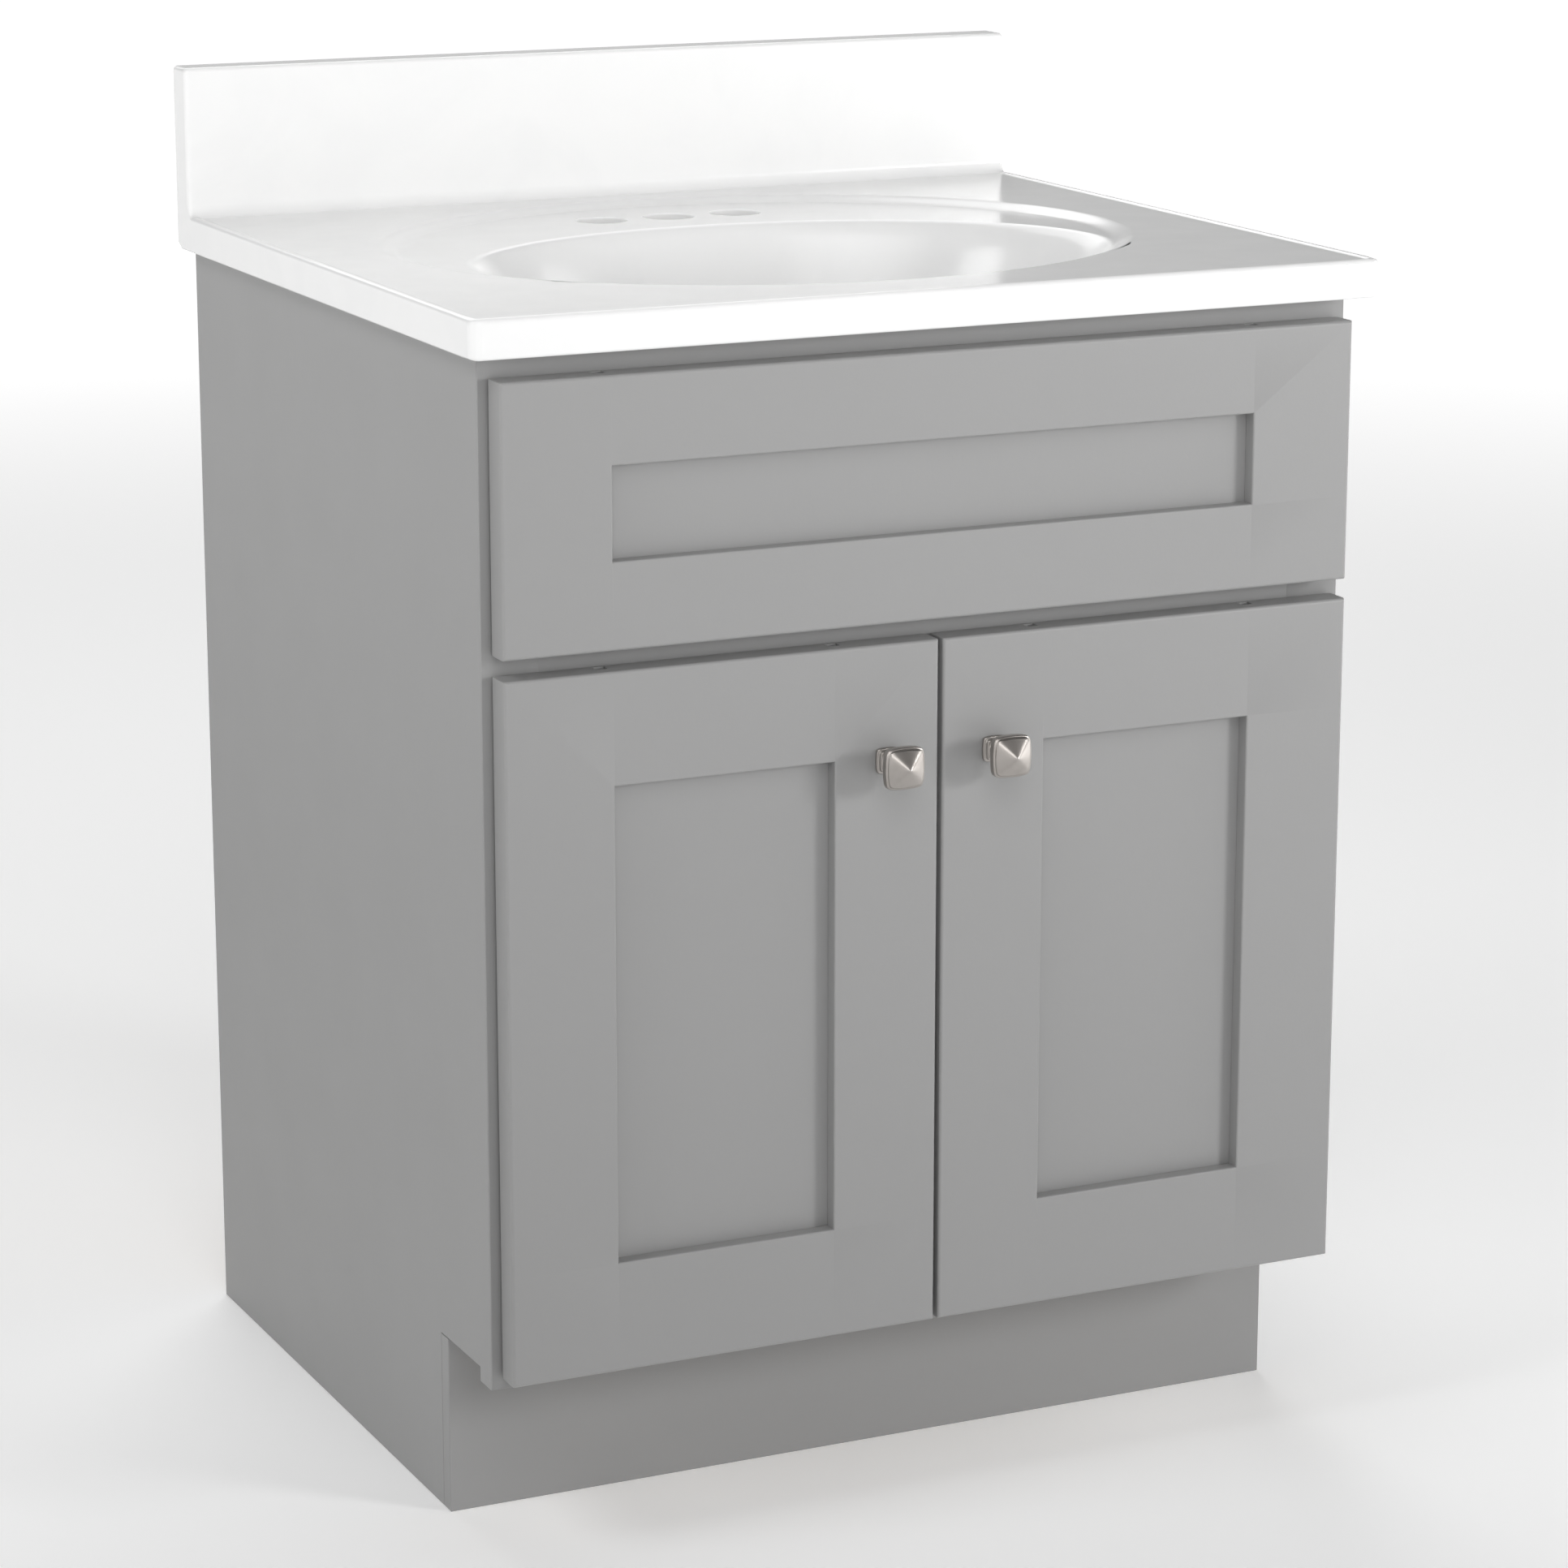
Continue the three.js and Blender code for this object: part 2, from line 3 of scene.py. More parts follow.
import bpy
import bmesh
import numpy as np
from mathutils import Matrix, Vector


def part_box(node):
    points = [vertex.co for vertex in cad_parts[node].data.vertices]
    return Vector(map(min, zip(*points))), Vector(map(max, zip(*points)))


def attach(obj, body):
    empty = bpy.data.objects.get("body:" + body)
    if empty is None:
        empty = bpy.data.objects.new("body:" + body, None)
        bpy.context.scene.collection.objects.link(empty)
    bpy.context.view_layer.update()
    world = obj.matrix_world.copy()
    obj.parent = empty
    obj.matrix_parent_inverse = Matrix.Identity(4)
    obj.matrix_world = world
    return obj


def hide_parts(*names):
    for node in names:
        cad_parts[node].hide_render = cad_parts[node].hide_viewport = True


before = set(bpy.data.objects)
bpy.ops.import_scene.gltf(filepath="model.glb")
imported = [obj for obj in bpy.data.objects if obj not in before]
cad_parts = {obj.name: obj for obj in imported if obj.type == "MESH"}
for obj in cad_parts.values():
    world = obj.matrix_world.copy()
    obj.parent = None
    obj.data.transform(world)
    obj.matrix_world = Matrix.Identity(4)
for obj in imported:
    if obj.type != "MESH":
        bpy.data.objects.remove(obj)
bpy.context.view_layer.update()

mm = 0.001
play = 0.3 * mm  # the gap that neighbouring CAD pieces keep
hands = ("left", "right")
levels = ("upper", "lower")
print("frame loaded:", len(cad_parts), "nodes")


def span(node):  # a node's lowest and highest corners as arrays
    low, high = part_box(node)
    return np.array(low), np.array(high)


studio = {
    "lens": 111.06, "azimuth": -25.06, "elevation": 14.0, "distance": 3.377,
    "target": (0.0277, 0.0343, 0.4118),
    "fades": {  # the world dims as the view's z rises: its first and last z, first and last strength
        "room": (0.0, 0.8, 0.29, 0.0),
        "skyline": (0.02, 0.11, 0.72, 0.0),
    },
    "lampY": -0.1,  # the y that every lamp aims at
    "lamps": {  # watts, place, size, spread in degrees and the height aimed at
        "key": (30, (1.92, -2.28, 1.15), 0.6, 180, 0.50),
        "brow": (2.0, (-0.50, -1.60, 2.40), 1.5, 60, 0.80),
        "front": (2.2, (-0.60, -2.40, 1.50), 1.5, 60, 0.85),
        "highFill": (14.5, (-1.85, -0.30, 2.35), 0.8, 180, 0.50),
        "lowFill": (7.5, (-2.40, -0.60, 1.10), 0.9, 180, 0.50),
        "side": (9, (2.40, -0.30, 1.40), 1.0, 180, 0.50),
        "card": (4, (2.20, -0.50, 0.35), 0.8, 180, 0.50),
        "back": (32, (0.30, 1.80, 2.40), 2.0, 180, 0.50),
    },
}


def aimAt(thing, place, target):
    thing.location = place
    thing.rotation_euler = (Vector(target) - Vector(place)).to_track_quat("-Z", "Y").to_euler()


def makeCamera(s):
    data = bpy.data.cameras.new("camera")
    data.lens = s["lens"]
    data.clip_start = 0.05  # metres
    camera = bpy.data.objects.new("camera", data)
    bpy.context.collection.objects.link(camera)
    azimuth, elevation = math.radians(s["azimuth"]), math.radians(s["elevation"])
    level = math.cos(elevation)
    away = Vector((math.sin(azimuth) * level, -math.cos(azimuth) * level, math.sin(elevation)))
    aimAt(camera, Vector(s["target"]) + away * s["distance"], s["target"])
    bpy.context.scene.camera = camera


def softLight(name, aimY, energy, place, size, spread, aimHeight):
    data = bpy.data.lights.new(name, "AREA")
    data.energy = energy
    data.size = size
    data.spread = math.radians(spread)
    lamp = bpy.data.objects.new(name, data)
    bpy.context.collection.objects.link(lamp)
    aimAt(lamp, place, (0, aimY, aimHeight))


def makeWorld(s):
    # a white room that dims from eye level to overhead, plus a bright band just above the floor's edge
    world = bpy.data.worlds.new("studio")
    bpy.context.scene.world = world
    world.use_nodes = True
    tree = world.node_tree
    split = tree.nodes.new("ShaderNodeSeparateXYZ")
    tree.links.new(tree.nodes.new("ShaderNodeTexCoord").outputs["Generated"], split.inputs[0])
    total = tree.nodes.new("ShaderNodeMath")
    for slot, settings in enumerate(s["fades"].values()):
        fade = tree.nodes.new("ShaderNodeMapRange")
        for socket, value in zip(("From Min", "From Max", "To Min", "To Max"), settings):
            fade.inputs[socket].default_value = value
        tree.links.new(split.outputs["Z"], fade.inputs["Value"])
        tree.links.new(fade.outputs[0], total.inputs[slot])
    tree.links.new(total.outputs[0], tree.nodes["Background"].inputs["Strength"])
    tree.nodes["Background"].inputs["Color"].default_value = (1, 1, 1, 1)


makeCamera(studio)
makeWorld(studio)
for lamp, settings in studio["lamps"].items():
    softLight(lamp, studio["lampY"], *settings)
bpy.context.scene.view_settings.view_transform = "Standard"
print("camera and lights ready")


class Wire:  # a shader socket that can stand in a sum, which adds its Math nodes
    def __init__(self, tree, socket):
        self.tree = tree
        self.socket = socket

    def calc(self, operation, a, b):
        node = self.tree.nodes.new("ShaderNodeMath")
        node.operation = operation
        plug(self.tree, node.inputs[0], a)
        plug(self.tree, node.inputs[1], b)
        return Wire(self.tree, node.outputs[0])

    def __add__(self, other):
        return self.calc("ADD", self, other)

    def __radd__(self, other):
        return self.calc("ADD", other, self)

    def __sub__(self, other):
        return self.calc("SUBTRACT", self, other)

    def __rsub__(self, other):
        return self.calc("SUBTRACT", other, self)

    def __mul__(self, other):
        return self.calc("MULTIPLY", self, other)

    def __rmul__(self, other):
        return self.calc("MULTIPLY", other, self)

    def __truediv__(self, other):
        return self.calc("DIVIDE", self, other)

    def __rtruediv__(self, other):
        return self.calc("DIVIDE", other, self)


def plug(tree, socket, value):
    if isinstance(value, Wire):
        tree.links.new(value.socket, socket)
    else:
        socket.default_value = value


class Finish:  # a material built round one Principled shader, whose plain values are set on its sockets
    def __init__(self, name, colour, **plain):
        self.material = bpy.data.materials.new(name)
        self.material.use_nodes = True
        self.tree = self.material.node_tree
        self.shader = self.tree.nodes["Principled BSDF"]
        self.shader.inputs["Base Color"].default_value = (*colour, 1)
        for key, value in plain.items():
            self.shader.inputs[key.replace("_", " ")].default_value = value

    def add(self, kind, settings=None, inputs=None, output=0):
        node = self.tree.nodes.new(kind)
        for key, value in (settings or {}).items():
            setattr(node, key, value)
        for key, value in (inputs or {}).items():
            plug(self.tree, node.inputs[key], value)
        return Wire(self.tree, node.outputs[output])

    def place(self):  # Object coordinates, in metres in the cabinet's own frame
        return self.add("ShaderNodeTexCoord", output="Object")

    def stretched(self, by):
        return self.add("ShaderNodeVectorMath", {"operation": "MULTIPLY"}, {0: self.place(), 1: by})

    def noise(self, scale, detail, roughness=0.5, at=None, distortion=0.0):
        return self.add("ShaderNodeTexNoise", None, {
            "Vector": at or self.place(), "Scale": scale, "Detail": detail,
            "Roughness": roughness, "Distortion": distortion})

    def between(self, factor, low, high):  # runs from low to high as factor goes from 0 to 1
        return factor * (high - low) + low

    def smooth(self, value, low, high):  # an S-curve, 0 below low and 1 above high
        return self.add("ShaderNodeMapRange", {"interpolation_type": "SMOOTHSTEP"}, {
            "Value": value, "From Min": low, "From Max": high})

    def blend(self, factor, a, b):  # from colour a to colour b
        a, b = [(*colour, 1) if isinstance(colour, tuple) else colour for colour in (a, b)]
        return self.add("ShaderNodeMix", {"data_type": "RGBA"}, {0: factor, 6: a, 7: b}, output=2)

    def feed(self, socket, wire):
        self.tree.links.new(wire.socket, self.shader.inputs[socket])

    def bump(self, height, distance, strength):
        self.feed("Normal", self.add("ShaderNodeBump", None, {
            "Height": height, "Distance": distance, "Strength": strength}))


paintLook = {
    "colour": (0.308, 0.307, 0.306), "shade": (0.299, 0.298, 0.297), "roughness": (0.36, 0.44),
    "cloudScale": 4.0, "grainScale": 38.0, "peelScale": 420, "dustScale": 950.0, "blotchScale": 17.0,
    "peelHeight": 0.05 * mm, "grainHeight": 0.02 * mm,
}


def greyPaint(s, along):
    # sprayed lacquer: fine orange peel over a trace of grain that runs along the board
    f = Finish("grey_paint_along_" + along, s["colour"], Specular_IOR_Level=0.5)
    run = {"x": (1, 12, 12), "y": (12, 1, 12), "z": (12, 12, 1)}[along]
    cloud = f.noise(s["cloudScale"], 3.0)
    grain = f.noise(s["grainScale"], 4.0, 0.6, at=f.stretched(run))
    peel = f.noise(s["peelScale"], 1.5, 0.45)
    dust = f.smooth(f.noise(s["dustScale"], 0.0), 0.70, 0.78)
    f.feed("Base Color", f.blend(f.between(cloud, 0.15, 0.75) + grain * 0.18, s["colour"], s["shade"]))
    f.feed("Roughness", f.between(f.noise(s["blotchScale"], 3.0), *s["roughness"]) + grain * 0.03)
    f.bump(peel + grain * (s["grainHeight"] / s["peelHeight"]) + dust * 0.35, s["peelHeight"], 0.55)
    return f.material


marbleLook = {
    "white": (0.866, 0.866, 0.863), "cloud": (0.848, 0.849, 0.848), "roughness": (0.18, 0.23),
    "cloudScale": 9.0, "fleckScale": 260.0, "sheenScale": 30.0, "waveScale": 14.0, "peelScale": 600.0,
    "waveHeight": 0.02 * mm,
}


def castMarble(s):
    # solid white cast polymer under a clear gel coat, with faint clouding and slow mould waviness
    f = Finish("cast_marble", s["white"], Coat_Weight=0.1, Coat_Roughness=0.12, Specular_IOR_Level=0.4)
    cloud = f.noise(s["cloudScale"], 5.0, 0.55, distortion=1.2)
    fleck = f.smooth(f.noise(s["fleckScale"], 2.0), 0.66, 0.8)
    f.feed("Base Color", f.blend(f.smooth(cloud, 0.42, 0.62) * 0.8 + fleck * 0.2, s["white"], s["cloud"]))
    f.feed("Roughness", f.between(f.noise(s["sheenScale"], 3.0), *s["roughness"]))
    f.bump(f.noise(s["waveScale"], 1.0) + f.noise(s["peelScale"], 1.0) * 0.02, s["waveHeight"], 0.5)
    return f.material


plyLook = {
    "face": (0.60, 0.44, 0.27), "dark": (0.44, 0.29, 0.16), "edgeDark": (0.25, 0.15, 0.08),
    "plyPitch": 1.9 * mm, "roughness": (0.55, 0.75), "figureScale": 9.0, "poreScale": 150.0,
    "poreDepth": 0.12 * mm,
}


def barePlywood(s, along, through):
    # birch ply: long figure along the sheet, and the plies' lines wherever the through axis shows them
    f = Finish("bare_plywood_" + along + through, s["face"], Specular_IOR_Level=0.3)
    run = {"x": (0.6, 9, 9), "y": (9, 0.6, 9), "z": (9, 9, 0.6)}[along]
    figure = f.noise(s["figureScale"], 6.0, 0.6, at=f.stretched(run), distortion=0.6)
    pores = f.noise(s["poreScale"], 3.0, 0.6, at=f.stretched(run))
    output = "xyz".index(through)
    depth = f.add("ShaderNodeSeparateXYZ", None, {0: f.place()}, output)
    pitch = s["plyPitch"]
    plies = f.add("ShaderNodeMath", {"operation": "PINGPONG"}, {0: depth, 1: pitch}) / pitch
    normal = f.add("ShaderNodeTexCoord", output="Normal")
    facing = f.add("ShaderNodeSeparateXYZ", None, {0: normal}, output)
    edgeOn = 1 - f.smooth(facing * facing, 0.1, 0.6)
    wood = f.blend(f.smooth(figure, 0.35, 0.7), s["face"], s["dark"])
    wood = f.blend(f.smooth(pores, 0.56, 0.72) * 0.35, wood, s["edgeDark"])
    f.feed("Base Color", f.blend(f.smooth(plies, 0.55, 0.8) * edgeOn * 0.55, wood, s["edgeDark"]))
    f.feed("Roughness", f.between(figure, *s["roughness"]))
    f.bump(figure * 0.5 + pores, s["poreDepth"], 0.6)
    return f.material


nickelLook = {
    "colour": (0.47, 0.44, 0.415), "shade": (0.35, 0.325, 0.30), "roughness": (0.26, 0.38),
    "brushScale": 520, "poolScale": 90.0, "brushDepth": 0.02 * mm,
}


def brushedNickel(s):
    # satin nickel: fine upright brushing, a little darker where the lacquer pools
    f = Finish("brushed_nickel", s["colour"], Metallic=1.0)
    brush = f.noise(s["brushScale"], 3.0, 0.6, at=f.stretched((4.5, 4.5, 0.5)))
    pool = f.noise(s["poolScale"], 2.0)
    f.feed("Base Color", f.blend(f.smooth(pool, 0.4, 0.75) * 0.35 + brush * 0.25, s["colour"], s["shade"]))
    f.feed("Roughness", f.between(brush, *s["roughness"]))
    f.bump(brush, s["brushDepth"], 0.5)
    return f.material


steelLook = {
    "colour": (0.68, 0.68, 0.69), "mark": (0.55, 0.56, 0.58), "roughness": (0.16, 0.34),
    "markScale": 60.0, "fineScale": 1400.0, "fineDepth": 0.01 * mm,
}


def platedSteel(s):
    # bright plate on pressed steel, with soft handling marks
    f = Finish("plated_steel", s["colour"], Metallic=1.0)
    marks = f.noise(s["markScale"], 5.0, 0.65)
    fine = f.noise(s["fineScale"], 1.0)
    f.feed("Base Color", f.blend(f.smooth(marks, 0.45, 0.8), s["colour"], s["mark"]))
    f.feed("Roughness", f.between(marks, *s["roughness"]) + fine * 0.04)
    f.bump(fine, s["fineDepth"], 0.4)
    return f.material


rubberLook = {
    "clear": (0.78, 0.78, 0.76), "milky": (0.66, 0.66, 0.63), "roughness": (0.3, 0.5),
    "hazeScale": 300.0, "hazeDepth": 0.03 * mm,
}


def clearRubber(s):
    # a milky clear bumper
    f = Finish("clear_rubber", s["clear"], Specular_IOR_Level=0.5)
    haze = f.noise(s["hazeScale"], 3.0)
    f.feed("Base Color", f.blend(haze, s["clear"], s["milky"]))
    f.feed("Roughness", f.between(haze, *s["roughness"]))
    f.bump(haze, s["hazeDepth"], 0.5)
    return f.material


paints = {along: greyPaint(paintLook, along) for along in "xyz"}
marble = castMarble(marbleLook)
nickel = brushedNickel(nickelLook)
steel = platedSteel(steelLook)
rubber = clearRubber(rubberLook)
print("finishes ready")


cornerAngle = math.radians(50)  # a fold sharper than this shades as a hard corner
easeSteps = 3  # facets round an eased arris


def meshFrom(name, points, faces):
    # a closed shell from points in any block shape, its faces turned to point outwards
    mesh = bpy.data.meshes.new(name)
    mesh.from_pydata(points.reshape(-1, 3).tolist(), [], faces)
    shell = bmesh.new()
    shell.from_mesh(mesh)
    bmesh.ops.recalc_face_normals(shell, faces=shell.faces)
    shell.to_mesh(mesh)
    shell.free()
    mesh.polygons.foreach_set("use_smooth", np.ones(len(mesh.polygons), dtype=bool))
    piece = bpy.data.objects.new(name, mesh)
    bpy.context.collection.objects.link(piece)
    return piece


def gridFaces(rows, columns, wrap=True):
    # quads between neighbouring rows, each row closing on itself when wrap is set
    r = np.arange(rows - 1)[:, None]
    c = np.arange(columns if wrap else columns - 1)[None, :]
    n = (c + 1) % columns
    quads = np.stack([r * columns + c, r * columns + n, (r + 1) * columns + n, (r + 1) * columns + c], -1)
    return quads.reshape(-1, 4)


def dressed(piece, body, node, material):
    piece.data.materials.clear()
    piece.data.materials.append(material)
    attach(piece, body)
    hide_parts(node)


def fixModifiers(piece):  # puts the modifiers' result into the mesh
    graph = bpy.context.evaluated_depsgraph_get()
    mesh = bpy.data.meshes.new_from_object(piece.evaluated_get(graph))
    piece.modifiers.clear()
    piece.data = mesh


def settle(piece, cutters=()):
    # applies what is on the piece, bores it, then shades it: hard at corners, flats kept flat
    for cutter in cutters:
        bore = piece.modifiers.new("bore", "BOOLEAN")
        bore.object = cutter
        bore.solver = "EXACT"
    fixModifiers(piece)
    for cutter in cutters:
        bpy.data.objects.remove(cutter)
    piece.data.set_sharp_from_angle(angle=cornerAngle)
    piece.modifiers.new("flats", "WEIGHTED_NORMAL").keep_sharp = True
    fixModifiers(piece)


axisOrder = {"x": (2, 0, 1), "y": (0, 2, 1), "z": (0, 1, 2)}  # outline, then station, as x, y and z


def carried(name, axis, outline, stations, ease, along=1.0, ends=1.0, cutters=()):
    # A board: the outline's point k at station m is (outline[k], stations[m]), so it is one
    # profile carried straight along an axis, closed by a flat face at each end. along weights
    # the long arrises for every stretch, ends the arrises round the first and last outline.
    outline = np.asarray(outline, float)
    stations = np.asarray(stations, float)
    count, lengths = len(outline), len(stations)
    flat = np.broadcast_to(outline, (lengths, count, 2))
    depth = np.broadcast_to(stations[:, None, None], (lengths, count, 1))
    points = np.concatenate([flat, depth], -1)[..., axisOrder[axis]]
    caps = [list(range(count)), list(range((lengths - 1) * count, lengths * count))]
    piece = meshFrom(name, points, gridFaces(lengths, count).tolist() + caps)
    along = np.broadcast_to(along, (lengths - 1, count))
    ends = np.broadcast_to(ends, (2, count))
    pairs = np.empty(len(piece.data.edges) * 2, dtype=int)
    piece.data.edges.foreach_get("vertices", pairs)
    pairs = pairs.reshape(-1, 2)
    row, column = pairs // count, pairs % count
    isLong = row[:, 0] != row[:, 1]
    first = np.where((column[:, 0] + 1) % count == column[:, 1], column[:, 0], column[:, 1])
    weight = np.where(isLong, along[np.minimum(row.min(1), lengths - 2), column[:, 0]],
                      np.where(row[:, 0] == 0, ends[0, first],
                               np.where(row[:, 0] == lengths - 1, ends[1, first], 0)))
    piece.data.attributes.new("bevel_weight_edge", "FLOAT", "EDGE").data.foreach_set("value", weight)
    easing = piece.modifiers.new("easing", "BEVEL")
    easing.width = ease
    easing.segments = easeSteps
    easing.limit_method = "WEIGHT"
    settle(piece, cutters)
    return piece


def rectangle(a, b):  # corners of an outline from its low and high corners
    return [(a[0], a[1]), (b[0], a[1]), (b[0], b[1]), (a[0], b[1])]


def squareReach(angle, bow, firmness):
    # How far a square with bowed sides reaches at each angle, for a half-width of 1. Each side is
    # an arc falling back by bow at the corners; the two nearest sides meet in a soft corner.
    turn = np.abs((angle + math.pi / 4) % (math.pi / 2) - math.pi / 4)
    radius = (bow ** 2 + (1 - bow) ** 2) / (2 * bow)
    reaches = [(1 - radius) * np.cos(t) + np.sqrt(radius ** 2 - ((radius - 1) * np.sin(t)) ** 2)
               for t in (turn, math.pi / 2 - turn)]
    return (reaches[0] ** -firmness + reaches[1] ** -firmness) ** (-1 / firmness)


def turned(name, rows, centre, outward, around=48, square=0.0, firmness=12.0, bow=0.08):
    # Rows of [radius, height] from pole to pole: point (row, angle) stands radius from the axis
    # at height along outward. square runs each row's shape from a circle at 0 to the bowed
    # square at 1.
    rows = np.asarray(rows, float)
    angle = np.arange(around) / around * 2 * math.pi
    square, firmness = [np.broadcast_to(v, len(rows))[:, None] for v in (square, firmness)]
    reach = 1 + (squareReach(angle[None], bow, firmness) - 1) * square
    radius = rows[:, :1] * reach
    outward = np.asarray(outward, float)
    side = np.array([0, 0, 1.0]) if abs(outward[2]) < 0.5 else np.array([1.0, 0, 0])
    other = np.cross(outward, side)
    points = (np.asarray(centre) + radius[..., None] * (np.cos(angle)[:, None] * side
              + np.sin(angle)[:, None] * other) + rows[:, 1][:, None, None] * outward)
    poles = np.asarray(centre) + rows[[0, -1], 1][:, None] * outward
    inner = points[1:-1]
    total = inner.shape[0] * around
    everything = np.concatenate([inner.reshape(-1, 3), poles])
    step = np.arange(around)
    following = (step + 1) % around
    foot = np.stack([np.full(around, total), following, step], -1)
    lastRow = (inner.shape[0] - 1) * around
    head = np.stack([np.full(around, total + 1), lastRow + step, lastRow + following], -1)
    faces = gridFaces(inner.shape[0], around).tolist() + foot.tolist() + head.tolist()
    return meshFrom(name, everything, faces)


def arc(centre, radius, start, finish, steps):
    # points on a circle: the centre plus radius times (cos, sin), from start to finish in degrees
    t = np.radians(np.linspace(start, finish, steps))
    return np.stack([centre[0] + radius * np.cos(t), centre[1] + radius * np.sin(t)], -1)


carcass = {
    "ease": 0.9 * mm, "sheetEase": 0.63 * mm, "plyEase": 0.5 * mm, "notchTop": 120.6 * mm,
}


def plainBoard(node, axis, ease, material):
    low, high = span(node)
    run = "xyz".index(axis)
    across = [i for i in range(3) if i != run]
    outline = rectangle(low[across], high[across])
    piece = carried(node + "_board", axis, outline, (low[run], high[run]), ease)
    dressed(piece, "cabinet", node, material)


def makeFaceFrame(s):
    # Stiles and rails meet flush, so only the arrises that stay open are eased. shut holds for the
    # stretches of a stile that a rail meets and free for those between, corner by corner.
    rails = {level: span(level + "_rail") for level in ("bottom", "mid", "top")}
    inner = (span("left_stile")[1][0], span("right_stile")[0][0])
    for hand in hands:
        low, high = span(hand + "_stile")
        stations = [low[2], rails["bottom"][1][2], rails["mid"][0][2], rails["mid"][1][2],
                    rails["top"][0][2], high[2]]
        if hand == "left":
            shut, free, ends = (1, 0, 0, 0), (1, 1, 1, 0), (1, 0.3, 0.3, 0)
        else:
            shut, free, ends = (0, 1, 0, 0), (1, 1, 0, 1), (1, 0, 0.3, 0.3)
        piece = carried(hand + "_stile_board", "z", rectangle(low[:2], high[:2]), stations, s["ease"],
                        along=(shut, free, shut, free, shut), ends=ends)
        dressed(piece, "cabinet", hand + "_stile", paints["z"])
    for level, (low, high) in rails.items():
        piece = carried(level + "_rail_board", "x", rectangle(low[1:], high[1:]), inner, s["ease"],
                        ends=0.0)
        dressed(piece, "cabinet", level + "_rail", paints["x"])


def makeSidePanel(hand, s):
    # a sheet with the toe space cut from its lower front corner
    node = hand + "_side_panel"
    low, high = span(node)
    boardLow, boardHigh = span("toe_board")
    frameBack = span(hand + "_stile")[1][1]
    notch = (boardHigh[1] + play, boardLow[2] + s["notchTop"])
    outline = [(frameBack, notch[1]), (notch[0], notch[1]), (notch[0], low[2]), (high[1], low[2]),
               (high[1], high[2]), (frameBack, high[2])]
    piece = carried(node + "_board", "x", outline, (low[0], high[0]), s["sheetEase"],
                    along=(0, 1, 1, 1, 1, 0), ends=(1, 1, 1, 1, 1, 0))
    dressed(piece, "cabinet", node, paints["z"])


def makeToeBoard(s):
    # full width below the side panels' notches, and between the panels above them
    low, high = span("toe_board")
    inner = span("right_side_panel")[0][0] - play
    step = low[2] + s["notchTop"] - play
    outline = [(low[0], low[2]), (high[0], low[2]), (high[0], step), (inner, step), (inner, high[2]),
               (-inner, high[2]), (-inner, step), (low[0], step)]
    piece = carried("toe_board_board", "y", outline, (low[1], high[1]), s["sheetEase"])
    dressed(piece, "cabinet", "toe_board", paints["x"])


def makePlywood(s):
    # the axis that each board's figure runs along, and the axis through its plies
    layout = {"floor_panel": ("x", "z"), "upper_back_rail": ("x", "y"), "lower_back_rail": ("x", "y"),
              "false_front_left_cleat": ("z", "y"), "false_front_right_cleat": ("z", "y")}
    for node, (along, through) in layout.items():
        plainBoard(node, along, s["plyEase"], barePlywood(plyLook, along, through))
    blockPly = barePlywood(plyLook, "x", "z")
    for end in ("front", "back"):
        for hand in hands:
            node = f"{end}_{hand}_corner_block"
            low, high = span(node)
            cornerX, farX = (low[0], high[0]) if hand == "left" else (high[0], low[0])
            cornerY, farY = (low[1], high[1]) if end == "front" else (high[1], low[1])
            outline = [(cornerX, cornerY), (farX, cornerY), (cornerX, farY)]
            piece = carried(node + "_block", "z", outline, (low[2], high[2]), s["plyEase"])
            dressed(piece, "cabinet", node, blockPly)


makeFaceFrame(carcass)
for hand in hands:
    makeSidePanel(hand, carcass)
makeToeBoard(carcass)
makePlywood(carcass)
print("carcass ready")


joinery = {  # inner and back are shares of the ease, for the arrises round the panel and at the back
    "ease": 2.2 * mm, "inner": 0.55, "back": 0.3, "panelEase": 0.3 * mm, "grooveDepth": 8 * mm,
    "boreSides": 64, "boreRun": 5 * mm,
}


def memberOutline(inner, outer, front, back, groove, s):
    # across the board from its inner edge, and front to back, with the panel's groove
    inward = -1 if outer > inner else 1
    deep = inner - inward * s["grooveDepth"]
    return [(outer, back), (outer, front), (inner, front), (inner, groove[0]), (deep, groove[0]),
            (deep, groove[1]), (inner, groove[1]), (inner, back)]


def makeStile(node, body, inner, railLow, railHigh, groove, s, cutters=()):
    # inner arrises are eased only between the rails, where they stay open
    low, high = span(node)
    outer = low[0] if abs(inner - low[0]) > abs(inner - high[0]) else high[0]
    outline = memberOutline(inner, outer, low[1], high[1], groove, s)
    free = [s["back"], 1, s["inner"], 0, 0, 0, 0, s["back"]]
    shut = [s["back"], 1, 0, 0, 0, 0, 0, 0]
    ends = [s["back"], 1, 0, 0, 0, 0, 0, s["back"]]
    piece = carried(node + "_board", "z", outline, (low[2], railLow, railHigh, high[2]), s["ease"],
                    along=[shut, free, shut], ends=ends, cutters=cutters)
    dressed(piece, body, node, paints["z"])


def makeRail(node, body, innerZ, run, groove, s):
    # the same section as a stile's, carried between the stiles
    low, high = span(node)
    outerZ = low[2] if abs(innerZ - low[2]) > abs(innerZ - high[2]) else high[2]
    outline = [(y, z) for z, y in memberOutline(innerZ, outerZ, low[1], high[1], groove, s)]
    along = [s["back"], 1, s["inner"], 0, 0, 0, 0, s["back"]]
    piece = carried(node + "_board", "x", outline, run, s["ease"], along=along, ends=0.0)
    dressed(piece, body, node, paints["x"])


